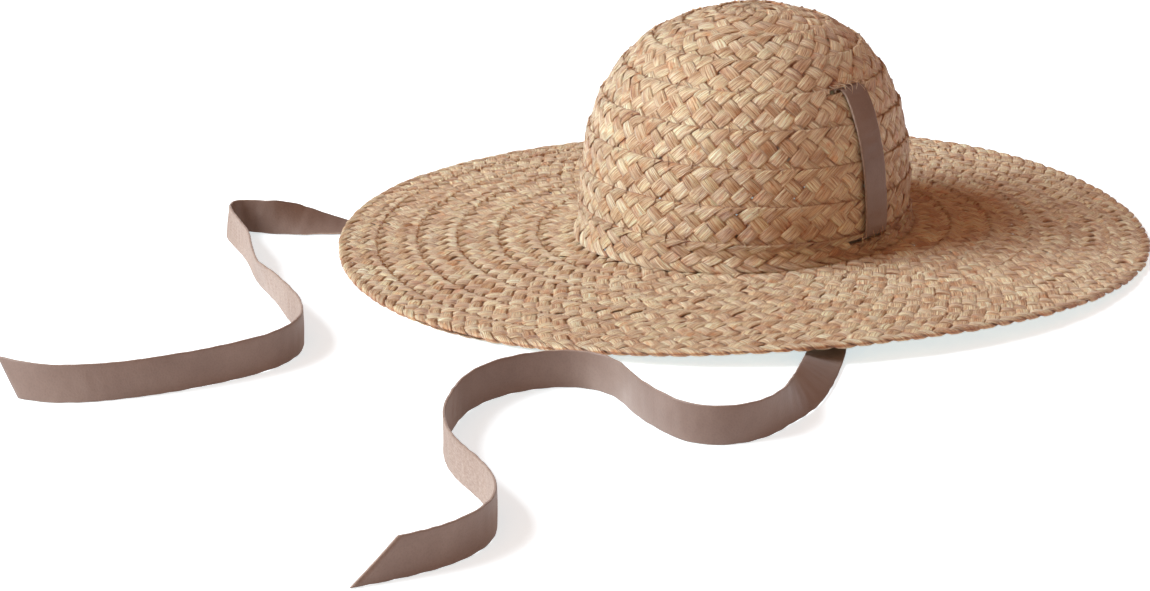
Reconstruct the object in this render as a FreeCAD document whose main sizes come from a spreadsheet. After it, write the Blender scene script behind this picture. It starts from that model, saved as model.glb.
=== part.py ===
"""Straw sun hat: a braid sewn in rounds, a sweatband and two leather ties.

Millimetres. +Z is up, the hat's front faces -Y, and the origin is on the floor under the
middle of the brim. The brim stands on the floor on its three low places.
"""
import FreeCAD, Part
import math
import os

from FreeCAD import Placement, Rotation, Vector

doc = FreeCAD.newDocument("StrawSunHat")

# ---------------------------------------------------------------- driving dimensions
DIMENSIONS = [
    ("crown_radius", 94.0, "mean of the oval crown, to the middle of the braid"),
    ("crown_rise", 125.0, "from the foot of the crown to its tip"),
    ("crown_fullness", 3.0, "exponent of the crown's curve"),
    ("crown_foot", 9.6, "height of the crown's lowest edge"),
    ("oval_offset", 8.0, "added front to back and taken off side to side"),
    ("crown_pitch", 20.5, "seam to seam on the crown"),
    ("foot_pitch", 16.0, "visible width of the lowest crown round"),
    ("braid_thickness", 2.8, "two layers of raffia strands"),
    ("braid_lap", 4.0, "how far one round lies over the next"),
    ("lap_clearance", 0.12, "between two lapped rounds"),
    ("tip_hole", 1.4, "radius of the pinhole at the tip"),
    ("brim_radius", 230.0, "mean of the oval brim"),
    ("brim_inner", 95.0, "mean radius where brim and crown meet"),
    ("brim_rounds", 6.0, "rounds of braid in the brim"),
    ("brim_root_height", 7.0, "middle of the braid at the crown"),
    ("brim_edge_height", 1.6, "middle of the braid at the rim's low places"),
    ("lift_mean", 2.8, "how far the rim stands off the floor on average"),
    ("lift_one", 2.4, "once-round part of the rim's wave"),
    ("lift_two", 2.0, "twice-round part of the rim's wave"),
    ("lift_three", 2.4, "three-times-round part of the rim's wave"),
    ("lift_angle", -31.0, "polar angle of the rim's highest place, in degrees"),
    ("tie_width", 19.0, "leather strap"),
    ("tie_thickness", 1.3, "leather strap"),
    ("slit_upper_height", 97.5, "slit where the tie comes out"),
    ("slit_lower_height", 17.5, "slit where the tie goes back in"),
    ("slit_gap", 2.4, "height of a slit"),
    ("slit_side_room", 1.0, "slit beyond the strap at each side"),
    ("tie_stand_off", 3.6, "tie's middle outside the braid's middle"),
    ("tie_inside", 3.6, "tie's middle inside the braid's middle, at the sewn end"),
    ("tie_drop_place", 79.6, "where the tie hangs inside the crown, from the middle plane"),
    ("tie_drop_end", 15.0, "height where the held part becomes the free tail"),
    ("floor_clearance", 0.3, "under the tie"),
    ("sweatband_radius", 90.3, "mean of the oval sweatband's outside"),
    ("sweatband_thickness", 1.0, "folded cotton"),
    ("sweatband_height", 28.0, "cotton band"),
    ("sweatband_foot", 10.4, "height of its lower edge"),
    ("thread_radius", 0.4, "raffia seam thread"),
]


def fill_sheet():
    """Put the driving dimensions into a spreadsheet, each with its own alias."""
    sheet = doc.addObject("Spreadsheet::Sheet", "Dimensions")
    for row, (alias, value, note) in enumerate(DIMENSIONS, start=1):
        sheet.set(f"A{row}", str(value))
        sheet.setAlias(f"A{row}", alias)
        sheet.set(f"B{row}", note)
    doc.recompute()
    return sheet


sheet = fill_sheet()


def dim(alias):
    """A driving dimension, read back from the sheet."""
    return float(sheet.get(alias))


def bind(thing, **expressions):
    """Bind properties to the sheet. A double underscore in a name stands for a dot."""
    for name, expression in expressions.items():
        path = name.replace("__", ".")
        for alias, _, _ in DIMENSIONS:
            expression = expression.replace(f"[{alias}]", f"Dimensions.{alias}")
        thing.setExpression(path, expression)
    return thing


# ---------------------------------------------------------------- the crown's curve
CURVE_STEPS = 2000


def crown_height_and_radius(share):
    """A point on the crown's curve: share is 0 at the foot and 1 at the tip."""
    height = dim("crown_foot") + share * dim("crown_rise")
    radius = dim("crown_radius") * math.sqrt(max(0.0, 1.0 - share ** dim("crown_fullness")))
    return radius, height


def walk_crown():
    """The crown's curve as (length from the tip, radius, height), from the tip to the foot."""
    points = []
    length = 0.0
    for step in range(CURVE_STEPS + 1):
        share = 1.0 - (step / CURVE_STEPS) ** 2
        radius, height = crown_height_and_radius(share)
        if points:
            length += math.hypot(radius - points[-1][1], height - points[-1][2])
        points.append((length, radius, height))
    return points


crown_curve = walk_crown()
crown_length = crown_curve[-1][0]


def on_crown(length, stand_off=0.0):
    """(radius, height) at a length from the tip, stand_off outside the middle of the braid."""
    for before, after in zip(crown_curve, crown_curve[1:]):
        if after[0] >= length:
            break
    span = after[0] - before[0]
    part = (length - before[0]) / span
    out = Vector(before[2] - after[2], 0, after[1] - before[1]) / span
    radius = before[1] + part * (after[1] - before[1]) + stand_off * out.x
    height = before[2] + part * (after[2] - before[2]) + stand_off * out.z
    return radius, height


def length_at_height(height):
    """Length from the tip to a height on the crown."""
    return min(crown_curve, key=lambda point: abs(point[2] - height))[0]


def oval_half(radius):
    """How far the oval departs from a circle: less towards the tip."""
    return dim("oval_offset") * min(radius / dim("crown_radius"), 1.0)


# ---------------------------------------------------------------- the braid's section
def braid_section(start, end):
    """Six (place, stand-off) corners of a flat braid with thin edges.

    start is the edge that lies over the round before, and end the edge under the next.
    """
    lap = dim("braid_lap")
    half = dim("braid_thickness") / 2
    step = half + dim("lap_clearance")
    slope = step / (end - start - lap)
    middle = (start + end) / 2

    def centre(place):
        return slope * (middle - place)

    return [
        (start, centre(start)),
        (start + lap, centre(start + lap) + half),
        (end - lap, centre(end - lap) + half),
        (end, centre(end)),
        (end - lap, centre(end - lap) - half),
        (start + lap, centre(start + lap) - half),
    ]


def ring_of(label, rails):
    """A closed ring of braid, ruled from rail to rail and back to the first."""
    ring = doc.addObject("Part::Loft", label)
    ring.Label = label
    ring.Sections = rails
    ring.Ruled = True
    ring.Solid = True
    ring.Closed = True
    return ring


# ---------------------------------------------------------------- crown rounds
def crown_rail(name, radius, height):
    """An oval rail, longer front to back than side to side."""
    rail = doc.addObject("Part::Ellipse", name)
    rail.Placement = Placement(Vector(0, 0, height), Rotation(Vector(0, 0, 1), 90))
    offset = f"[oval_offset] * min({radius:.4f} / [crown_radius]; 1)"
    bind(rail, MajorRadius=f"{radius:.4f} + {offset}", MinorRadius=f"{radius:.4f} - {offset}")
    return rail


def crown_round(label, start, end):
    """One round of the crown, between two lengths from the tip."""
    rails = []
    for number, (length, stand_off) in enumerate(braid_section(start, end), start=1):
        radius, height = on_crown(length, stand_off)
        rails.append(crown_rail(f"{label}_rail_{number}", radius, height))
    return ring_of(label, rails)


def crown_seams():
    """Lengths from the tip of the lower edge of what is seen of each round, the tip's first."""
    seams = [crown_length, crown_length - dim("foot_pitch")]
    while seams[-1] > 1.5 * dim("crown_pitch"):
        seams.append(seams[-1] - dim("crown_pitch"))
    return sorted(seams)


# ---------------------------------------------------------------- brim rounds
RAIL_POINTS = 48


def rim_lift(angle):
    """Height of the rim's wave above its low places, at a polar angle in radians."""
    turn = angle - math.radians(dim("lift_angle"))
    wave = dim("lift_one") * math.cos(turn)
    wave += dim("lift_two") * math.cos(2 * turn)
    wave += dim("lift_three") * math.cos(3 * turn)
    return dim("lift_mean") + wave


def brim_height(radius, angle):
    """Middle of the brim's braid: level at the crown, waved at the rim."""
    share = (radius - dim("brim_inner")) / (dim("brim_radius") - dim("brim_inner"))
    rim = dim("brim_edge_height") + rim_lift(angle)
    return dim("brim_root_height") + share * (rim - dim("brim_root_height"))


def brim_rail(name, radius, stand_off):
    """A waved oval rail of the brim."""
    offset = oval_half(radius)
    points = []
    for number in range(RAIL_POINTS):
        angle = 2 * math.pi * number / RAIL_POINTS
        along_x = (radius - offset) * math.cos(angle)
        along_y = (radius + offset) * math.sin(angle)
        points.append(Vector(along_x, along_y, brim_height(radius, angle) + stand_off))
    curve = Part.BSplineCurve()
    curve.interpolate(points, PeriodicFlag=True)
    rail = doc.addObject("Part::Feature", name)
    rail.Shape = curve.toShape()
    return rail


def brim_round(label, start, end):
    """One round of the brim, between two mean radii."""
    rails = []
    for number, (radius, stand_off) in enumerate(braid_section(start, end), start=1):
        rails.append(brim_rail(f"{label}_rail_{number}", radius, stand_off))
    return ring_of(label, rails)


# ---------------------------------------------------------------- cutting tools
def centred_box(name, size_x, size_y, size_z, middle_z):
    """A box centred on the Z axis, with its sizes and height bound to the sheet."""
    box = doc.addObject("Part::Box", name)
    bind(box, Length=size_x, Width=size_y, Height=size_z)
    bind(box, Placement__Base__x=f"-({size_x}) / 2", Placement__Base__y=f"-({size_y}) / 2")
    bind(box, Placement__Base__z=f"({middle_z}) - ({size_z}) / 2")
    return box


def cut(label, base, tool):
    """base without tool, as the sub-part label."""
    result = doc.addObject("Part::Cut", label)
    base.Label = f"{label}_uncut"
    result.Label = label
    result.Base = base
    result.Tool = tool
    return result


def slit_cutter(name, height):
    """Cuts one slit at each side of the crown."""
    return centred_box(
        name, "3 * [crown_radius]", "[tie_width] + 2 * [slit_side_room]", "[slit_gap]", height
    )


def floor_cutter():
    """Takes off the little that the rim's low places would reach below the floor."""
    return centred_box("floor_cutter", "3 * [brim_radius]", "3 * [brim_radius]", "10", "-5")


# ---------------------------------------------------------------- seam thread
def thread_ring(name, rail_maker):
    """A thin square ring of thread along four rails."""
    radius = dim("thread_radius")
    rails = []
    for number, (side, up) in enumerate([(-1, 0), (0, 1), (1, 0), (0, -1)], start=1):
        rails.append(rail_maker(f"{name}_rail_{number}", side * radius, up * radius))
    return ring_of(name, rails)


def thread_stand_off(start, end):
    """Middle of the thread that lies on a round just before the next round's edge."""
    upper_face = braid_section(start, end)
    (place_1, top_1), (place_2, top_2) = upper_face[1], upper_face[2]
    place = end - dim("braid_lap") - 2 * dim("thread_radius")
    share = (place - place_1) / (place_2 - place_1)
    return place, top_1 + share * (top_2 - top_1) + 1.5 * dim("thread_radius")


def crown_thread(name, start, end):
    """The seam thread on a crown round."""
    length, stand_off = thread_stand_off(start, end)

    def rail(rail_name, side, up):
        radius, height = on_crown(length + side, stand_off + up)
        return crown_rail(rail_name, radius, height)

    return thread_ring(name, rail)


def brim_thread(name, start, end):
    """The seam thread on a brim round."""
    radius, stand_off = thread_stand_off(start, end)

    def rail(rail_name, side, up):
        return brim_rail(rail_name, radius + side, stand_off + up)

    return thread_ring(name, rail)


def group(label, members):
    """Separate solids that share one node."""
    compound = doc.addObject("Part::Compound", label)
    compound.Label = label
    compound.Links = members
    return compound


# ---------------------------------------------------------------- sweatband
def oval_prism(name, radius, foot, height):
    """An upright oval cylinder, with every size bound to the sheet."""
    outline = doc.addObject("Part::Ellipse", f"{name}_outline")
    outline.Placement = Placement(Vector(0, 0, 0), Rotation(Vector(0, 0, 1), 90))
    bind(outline, MajorRadius=f"{radius} + [oval_offset]", MinorRadius=f"{radius} - [oval_offset]")
    bind(outline, Placement__Base__z=foot)
    prism = doc.addObject("Part::Extrusion", name)
    prism.Base = outline
    prism.DirMode = "Custom"
    prism.Dir = Vector(0, 0, 1)
    prism.Solid = True
    bind(prism, LengthFwd=height)
    return prism


def oval_band(label, outer, thickness, foot, height):
    """A hollow oval band."""
    outside = oval_prism(f"{label}_outside", outer, foot, height)
    inside = oval_prism(f"{label}_inside", f"({outer} - {thickness})", foot, height)
    return cut(label, outside, inside)


def sweatband():
    """The cotton band in the head opening, slit where the ties pass through it."""
    band = oval_band(
        "sweatband_band",
        "[sweatband_radius]",
        "[sweatband_thickness]",
        "[sweatband_foot]",
        "[sweatband_height]",
    )
    slit = slit_cutter("sweatband_slit", "[slit_lower_height]")
    return cut("sweatband", band, slit)


def sweatband_stitching():
    """The thread that runs round the sweatband's inside, near its lower edge."""
    return oval_band(
        "sweatband_stitching",
        "([sweatband_radius] - [sweatband_thickness])",
        "[thread_radius]",
        "[sweatband_foot] + 2",
        "[thread_radius]",
    )


# ---------------------------------------------------------------- ties
BEND_SHARE = 0.45


def bent_path(points):
    """Straight runs from point to point, joined by tangent arcs. Prints the least radius."""
    edges = []
    here = points[0]
    radii = []
    for before, corner, after in zip(points, points[1:], points[2:]):
        back = before - corner
        on = after - corner
        turn = math.pi - back.getAngle(on)
        trim = BEND_SHARE * min(back.Length, on.Length)
        radii.append(trim / math.tan(turn / 2))
        back.normalize()
        on.normalize()
        start = corner + back * trim
        end = corner + on * trim
        inward = back + on
        inward.normalize()
        to_centre = radii[-1] / math.cos(turn / 2)
        middle = corner + inward * (to_centre - radii[-1])
        edges.append(Part.LineSegment(here, start).toShape())
        edges.append(Part.Arc(start, middle, end).toShape())
        here = end
    edges.append(Part.LineSegment(here, points[-1]).toShape())
    path = Part.Wire(edges)
    print(f"path {path.Length:.1f} mm, bend radii from {min(radii):.1f} to {max(radii):.1f} mm")
    return path


def strap_rectangle(middle, across, through):
    """The strap's section: across and through are unit vectors."""
    wide = across * (dim("tie_width") / 2)
    thick = through * (dim("tie_thickness") / 2)
    corners = [
        middle + wide + thick,
        middle - wide + thick,
        middle - wide - thick,
        middle + wide - thick,
    ]
    return Part.makePolygon(corners + [corners[0]])


def strap_along(points, across):
    """A strap that keeps one direction across while it follows the points."""
    path = bent_path(points)
    ahead = points[1] - points[0]
    ahead.normalize()
    profile = strap_rectangle(points[0], across, ahead.cross(across))
    strap = path.makePipeShell([profile], True, False)
    print(f"strap {strap.Volume:.0f} mm3 of {path.Length * profile_area():.0f}")
    return strap


def profile_area():
    """Area of the strap's section."""
    return dim("tie_width") * dim("tie_thickness")


def sub_part(label, shape):
    """A sub-part whose shape no primitive makes."""
    feature = doc.addObject("Part::Feature", label)
    feature.Label = label
    feature.Shape = shape
    feature.Placement = Placement()
    return feature


def side_point(height, stand_off):
    """A point beside the crown in the middle plane, stand_off from the braid's middle."""
    radius, level = on_crown(length_at_height(height), stand_off)
    return Vector(radius - oval_half(radius), 0, level)


def held_points():
    """The held tie on the +X side: sewn end, upper slit, down the crown, lower slit, inside."""
    inside = dim("tie_inside")
    outside = dim("tie_stand_off")
    upper = dim("slit_upper_height")
    lower = dim("slit_lower_height")
    drop = dim("tie_drop_place")
    slit_x = side_point(upper, 0).x
    return [
        side_point(112, -inside),
        side_point(103, -inside),
        Vector(slit_x - 4.5, 0, upper),
        Vector(slit_x + 5.0, 0, upper),
        side_point(88, outside),
        side_point(70, outside),
        side_point(50, outside),
        side_point(30, outside),
        Vector(side_point(lower, outside).x + 1.0, 0, lower),
        Vector(drop, 0, lower),
        Vector(drop, 0, dim("tie_drop_end")),
    ]


def mirrored(points):
    """The same points on the -X side."""
    return [Vector(-point.x, point.y, point.z) for point in points]


# Middle of each tie where it stands on edge on the floor, as (x, y), from the brim outwards.
RIGHT_TAIL = [
    (204.5, -235.0),
    (206.5, -259.0),
    (198.5, -277.0),
    (182.0, -284.0),
    (163.0, -279.5),
    (141.0, -270.0),
    (120.0, -257.0),
    (104.5, -254.5),
    (90.0, -260.5),
    (79.5, -274.5),
    (74.0, -293.0),
    (75.5, -315.0),
    (85.5, -337.0),
    (99.5, -358.5),
    (117.0, -376.5),
    (136.0, -388.5),
    (160.0, -399.5),
    (179.0, -411.0),
    (193.0, -427.5),
    (199.0, -448.0),
    (197.5, -473.0),
    (184.2, -506.2),
]
LEFT_TAIL = [
    (-208.0, -170.5),
    (-219.0, -174.0),
    (-226.5, -178.5),
    (-226.0, -187.0),
    (-214.5, -196.0),
    (-195.0, -206.5),
    (-174.0, -220.0),
    (-151.0, -238.5),
    (-130.0, -252.5),
    (-109.0, -262.0),
    (-87.0, -275.0),
    (-64.0, -288.0),
    (-46.0, -305.0),
    (-37.5, -327.0),
    (-38.5, -353.0),
    (-46.5, -381.0),
    (-57.0, -408.0),
    (-72.0, -429.5),
    (-91.0, -443.0),
    (-111.0, -445.5),
]
# Where each tie rolls from flat to on edge, as (x, y, roll in degrees).
RIGHT_ROLL = [
    (156.0, -137.0, 0.0),
    (162.5, -147.5, 10.0),
    (179.0, -176.5, 28.0),
    (195.0, -207.5, 50.0),
    (204.5, -235.0, 90.0),
]
LEFT_ROLL = [
    (-176.0, -131.5, 0.0),
    (-182.5, -138.0, 10.0),
    (-190.0, -146.5, 24.0),
    (-196.5, -154.5, 40.0),
    (-208.0, -170.5, 90.0),
]


def edge_height(roll):
    """Height of the strap's middle when its lower edge lies on the floor at this roll."""
    lean = math.radians(roll)
    half_width = dim("tie_width") / 2
    half_thickness = dim("tie_thickness") / 2
    return dim("floor_clearance") + half_width * math.sin(lean) + half_thickness * math.cos(lean)


def level_direction(before, after):
    """Unit vector on the floor from one place to another."""
    direction = Vector(after[0] - before[0], after[1] - before[1], 0)
    direction.normalize()
    return direction


def rolled_strap(stations, first_ahead, last_ahead, rising_side):
    """The strap from flat to on edge. rising_side is +1 if its left edge rises, -1 if its right."""
    profiles = []
    last = len(stations) - 1
    for number, (x, y, roll) in enumerate(stations):
        if number == 0:
            ahead = first_ahead
        elif number == last:
            ahead = last_ahead
        else:
            before = stations[number - 1]
            after = stations[number + 1]
            ahead = level_direction(before, after)
        left = Vector(-ahead.y, ahead.x, 0) * rising_side
        lean = math.radians(roll)
        across = left * math.cos(lean) + Vector(0, 0, math.sin(lean))
        through = left * -math.sin(lean) + Vector(0, 0, math.cos(lean))
        profiles.append(strap_rectangle(Vector(x, y, edge_height(roll)), across, through))
    return Part.makeLoft(profiles, True, True)


def tail(label, side, stations, route, rising_side, slant):
    """A free tie: down inside the crown, flat under the brim, then on edge across the floor.

    slant is how much further the lower edge runs than the upper one at the cut end.
    """
    drop_x = side * dim("tie_drop_place")
    flat = edge_height(0)
    top_of_flat = flat + dim("tie_thickness") / 2
    drop = Part.makeBox(
        dim("tie_thickness"),
        dim("tie_width"),
        dim("tie_drop_end") - top_of_flat,
        Vector(drop_x - dim("tie_thickness") / 2, -dim("tie_width") / 2, top_of_flat),
    )
    under = Vector(drop_x, 0, flat)
    out = Vector(stations[0][0], stations[0][1], flat)
    ahead = level_direction(under, out)
    behind = under - ahead * (dim("tie_width") / 2)
    left = Vector(-ahead.y, ahead.x, 0)
    strip = Part.makeLoft(
        [
            strap_rectangle(behind, left, Vector(0, 0, 1)),
            strap_rectangle(out, left, Vector(0, 0, 1)),
        ],
        True,
        True,
    )
    rolled = rolled_strap(stations, ahead, level_direction(route[0], route[1]), rising_side)
    level = edge_height(90)
    standing = strap_along([Vector(x, y, level) for x, y in route], Vector(0, 0, 1))
    standing = standing.cut(end_wedge(route, level, slant))
    whole = drop.fuse([strip, rolled, standing])
    return sub_part(label, whole.removeSplitter())


def end_wedge(route, level, slant):
    """What a slanted cut takes off the end of a standing strap."""
    ahead = level_direction(route[-2], route[-1])
    side = Vector(-ahead.y, ahead.x, 0)
    half = dim("tie_width") / 2
    end = Vector(route[-1][0], route[-1][1], level)
    longer = Vector(0, 0, -1 if slant > 0 else 1)
    tip = end + longer * (half + 1)
    back = end - longer * (half + 1) - ahead * abs(slant)
    beyond = ahead * (abs(slant) + 10)
    corners = [tip, back, back + beyond * 2, tip + beyond]
    corners = [corner - side * 5 for corner in corners]
    face = Part.Face(Part.makePolygon(corners + [corners[0]]))
    return face.extrude(side * 10)


def anchor_stitches(label):
    """Two bar tacks across the sewn end of each tie, inside the crown."""
    end, corner = held_points()[:2]
    down = corner - end
    down.normalize()
    inward = Vector(down.z, 0, -down.x)
    radius = dim("thread_radius")
    length = dim("tie_width") - 7
    bars = []
    for from_end in (3.0, 6.0):
        spot = end + down * from_end + inward * (dim("tie_thickness") / 2 + radius)
        for side in (1, -1):
            foot = Vector(side * spot.x, -length / 2, spot.z)
            bars.append(Part.makeCylinder(radius, length, foot, Vector(0, 1, 0)))
    return sub_part(label, Part.makeCompound(bars))


# ---------------------------------------------------------------- the whole hat
def build_crown():
    """The tip and the crown's rounds, the slit ones cut, and their seam threads."""
    seams = crown_seams()
    starts = [dim("tip_hole")] + seams[:-1]
    ends = [seam + dim("braid_lap") for seam in seams[:-1]] + seams[-1:]
    slits = {
        "slit_upper_height": length_at_height(dim("slit_upper_height")),
        "slit_lower_height": length_at_height(dim("slit_lower_height")),
    }
    parts = []
    threads = []
    for number, (start, end) in enumerate(zip(starts, ends)):
        label = f"crown_round_{number}" if number else "crown_tip"
        ring = crown_round(label, start, end)
        for alias, length in slits.items():
            if start - dim("slit_gap") < length < end + dim("slit_gap"):
                cutter = slit_cutter(f"{label}_slit", f"[{alias}]")
                ring = cut(label, ring, cutter)
        parts.append(ring)
        if number < len(seams) - 1:
            threads.append(crown_thread(f"{label}_thread", start, end))
    return parts, threads


def build_brim():
    """The brim's rounds, the rim's one cut level with the floor, and their seam threads."""
    rounds = int(dim("brim_rounds"))
    pitch = (dim("brim_radius") - dim("brim_inner")) / rounds
    parts = []
    threads = []
    for number in range(1, rounds + 1):
        start = dim("brim_inner") + (number - 1) * pitch
        end = start + pitch + dim("braid_lap")
        if number == 1:
            start -= dim("braid_lap")
        if number == rounds:
            end = dim("brim_radius")
        label = f"brim_round_{number}"
        ring = brim_round(label, start, end)
        if number == rounds:
            ring = cut(label, ring, floor_cutter())
        else:
            threads.append(brim_thread(f"{label}_thread", start, end))
        parts.append(ring)
    return parts, threads


def build_ties():
    """The two ties, each as its held part and its free tail, and their bar tacks."""
    points = held_points()
    across = Vector(0, 1, 0)
    return [
        sub_part("tie_right_held", strap_along(points, across)),
        sub_part("tie_left_held", strap_along(mirrored(points), across)),
        tail("tie_right_tail", 1, RIGHT_ROLL, RIGHT_TAIL, -1, 22.0),
        tail("tie_left_tail", -1, LEFT_ROLL, LEFT_TAIL, -1, -12.0),
        anchor_stitches("tie_anchor_stitches"),
    ]


def check_and_export(parts):
    """Refuse a failed object or a bad shape, then write one STEP file for each sub-part."""
    for thing in doc.Objects:
        if "Invalid" in thing.State or "Error" in thing.State:
            raise RuntimeError(f"{thing.Name} failed: {thing.State}")
    os.makedirs("parts", exist_ok=True)
    for part in parts:
        if part.Shape.isNull() or not part.Shape.isValid():
            raise RuntimeError(f"{part.Label} has a bad shape")
        part.Shape.exportStep(f"parts/{part.Label}.step")


crown_parts, crown_threads = build_crown()
brim_parts, brim_threads = build_brim()
all_parts = crown_parts + brim_parts
all_parts.append(group("seam_thread", crown_threads + brim_threads))
all_parts.append(sweatband())
all_parts.append(sweatband_stitching())
all_parts += build_ties()
doc.recompute()
check_and_export(all_parts)
print(f"{len(all_parts)} sub-parts, crown curve {crown_length:.1f} mm")
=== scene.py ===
"""Straw sun hat with leather ties: every plaited strand, stitch and strap, round the CAD frame.

Lengths are in millimetres until make_mesh turns them into metres. +Z is up, the hat's front
faces -Y, and polar angles run counter-clockwise from +X as seen from above.
"""

import math

import bpy
import numpy as np
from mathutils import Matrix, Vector


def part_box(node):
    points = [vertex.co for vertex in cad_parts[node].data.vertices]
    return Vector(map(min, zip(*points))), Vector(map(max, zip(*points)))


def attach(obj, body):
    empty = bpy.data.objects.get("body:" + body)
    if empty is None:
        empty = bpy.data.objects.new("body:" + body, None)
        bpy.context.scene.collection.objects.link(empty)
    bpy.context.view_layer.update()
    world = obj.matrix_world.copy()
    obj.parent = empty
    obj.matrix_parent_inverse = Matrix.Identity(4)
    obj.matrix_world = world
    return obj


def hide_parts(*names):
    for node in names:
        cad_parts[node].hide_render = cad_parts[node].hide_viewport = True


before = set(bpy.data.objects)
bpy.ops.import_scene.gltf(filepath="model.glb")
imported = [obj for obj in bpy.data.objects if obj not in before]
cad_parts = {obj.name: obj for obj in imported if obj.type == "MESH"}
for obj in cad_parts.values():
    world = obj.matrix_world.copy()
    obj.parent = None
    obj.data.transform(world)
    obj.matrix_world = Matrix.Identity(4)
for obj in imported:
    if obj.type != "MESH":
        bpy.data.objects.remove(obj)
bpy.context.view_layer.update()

MM = 0.001

# ---------------- sizes, as in the CAD
CROWN_RADIUS = 94.0
CROWN_RISE = 125.0
CROWN_FULLNESS = 3.0
CROWN_FOOT = 9.6
OVAL_OFFSET = 8.0
CROWN_PITCH = 20.5
FOOT_PITCH = 16.0
BRAID_THICKNESS = 2.8
BRAID_LAP = 4.0
LAP_CLEARANCE = 0.12
TIP_HOLE = 1.4
BRIM_RADIUS = 230.0
BRIM_INNER = 95.0
BRIM_ROUNDS = 6
BRIM_ROOT_HEIGHT = 7.0
BRIM_EDGE_HEIGHT = 1.6
# The rim is lifted by a mean, and by waves that run once, twice and three times round it.
LIFT_MEAN = 2.8
LIFT_ONE = 2.4
LIFT_TWO = 2.0
LIFT_THREE = 2.4
LIFT_ANGLE = math.radians(-31.0)
TIE_WIDTH = 19.0
TIE_THICKNESS = 1.3
# A tie drops inside the crown this far from the middle, to this height, and lies this far off
# the middle of the crown's braid.
TIE_DROP = 79.6
TIE_DROP_END = 15.0
TIE_OUTSIDE = 3.6
SEWN_END_HEIGHT = 112.0
SEWN_CORNER_HEIGHT = 103.0
FLOOR_CLEARANCE = 0.3
SLIT_UPPER_HEIGHT = 97.5
SLIT_LOWER_HEIGHT = 17.5
SWEATBAND_RADIUS = 90.3
SWEATBAND_INSIDE = 89.2

# ---------------- how the straw gives way
# The crown's foot flares into the brim over this length above its lowest edge.
FLARE_LENGTH = 12.0
FLARE_OUT = 4.5
FLARE_DOWN = 1.3
# The soft top of the crown has settled. The settling fades out before this length from the tip.
SETTLE = 2.1
SETTLE_END = 64.0
SETTLE_FADE = 30.0
# The crown's seams slope as its spiral does: from the side nearest the camera, at minus
# VIEWED_SIDE, they fall to their lowest place a quarter turn counter-clockwise. The slope fades
# out near the tip and at the foot.
SEAM_DROP_MEAN = 1.3
SEAM_DROP_SWING = 5.5
VIEWED_SIDE = math.radians(53.0)
TIP_FADE = 60.0
FOOT_FADE = 18.0
# A slit reaches further forwards than backwards of the tie's middle. The gaps are half widths,
# and straw still bridges the last part of each end.
SLIT_MIDDLE = -4.0
SLIT_HALF_LENGTH = 20.0
SLIT_BRIDGE = 1.5
SLIT_TAPER = 8.0
SLIT_GAPS = [1.25, 0.95]
SLIT_FIBRES = 12
# How much of the step at a seam is left once the soft braids are sewn and pressed together.
CROWN_PRESSED = 0.9
BRIM_PRESSED = 0.5

# ---------------- the braid
STRANDS = 5
# Length along the braid from one turn of a strand at its edge to the next strand's turn.
CROWN_TURN = 11.3
BRIM_TURN = 9.8
# Rings of points on a strand from one turn to its next at the same edge, and points of each
# ring on the strand's upper and under sides.
PERIOD_STEPS = 52
TOP_POINTS = 9
UNDER_POINTS = 3
# The crown's strands are flat and crisp, the brim's fuller and rounder: (thickness, lift off
# the braid's middle where one passes over another, squareness of the section, share of its
# place in the plait that it fills).
CROWN_STRAND = (1.25, 0.6, 8.0, 1.0)
BRIM_STRAND = (1.8, 0.95, 3.4, 1.09)
# No strand reaches nearer to the floor than this.
REST_GAP = 0.05
# Stitches over the seams: (spacing along the seam, height off the braid's middle).
CROWN_STITCH = (15.0, 1.35)
BRIM_STITCH = (6.0, 1.8)
STITCH_RADIUS = 0.4
FIBRE_RADIUS = 0.13


# ---------------- camera
def add_camera():
    """The photograph's viewpoint: a long lens, a little above the hat, front left of the wearer."""
    data = bpy.data.cameras.new("camera")
    data.sensor_width = 36.0
    data.lens = 93.65
    data.clip_end = 100.0
    camera = bpy.data.objects.new("camera", data)
    camera.location = (0.9813, -1.3023, 0.4808)
    aim = Vector((-0.0022, -0.1460, 0.0))
    camera.rotation_mode = "QUATERNION"
    camera.rotation_quaternion = (aim - camera.location).to_track_quat("-Z", "Y")
    bpy.context.collection.objects.link(camera)
    bpy.context.scene.camera = camera


# ---------------- meshes and node graphs
def make_mesh(name, points, faces, corners_uv, materials, face_materials=None, **attributes):
    """A smooth mesh piece in metres that rides on the hat, with its own unwrapped UV map."""
    mesh = bpy.data.meshes.new(name)
    faces = np.asarray(faces, dtype=np.int32)
    mesh.vertices.add(len(points))
    mesh.vertices.foreach_set("co", (np.asarray(points) * MM).astype(np.float32).ravel())
    mesh.loops.add(faces.size)
    mesh.loops.foreach_set("vertex_index", faces.ravel())
    mesh.polygons.add(len(faces))
    mesh.polygons.foreach_set("loop_start", np.arange(0, faces.size, faces.shape[1], dtype=np.int32))
    mesh.update(calc_edges=True)
    uv_layer = mesh.uv_layers.new(name="OFBake")
    uv_layer.data.foreach_set("uv", np.asarray(corners_uv, dtype=np.float32).ravel())
    for attribute_name, values in attributes.items():
        values = np.asarray(values, dtype=np.float32)
        kind = "FLOAT_VECTOR" if values.ndim == 2 else "FLOAT"
        attribute = mesh.attributes.new(attribute_name, kind, "POINT")
        attribute.data.foreach_set("vector" if values.ndim == 2 else "value", values.ravel())
    for material in materials:
        mesh.materials.append(material)
    if face_materials is not None:
        mesh.polygons.foreach_set("material_index", np.asarray(face_materials, dtype=np.int32))
    mesh.shade_smooth()
    piece = bpy.data.objects.new(name, mesh)
    bpy.context.collection.objects.link(piece)
    return piece


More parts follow.
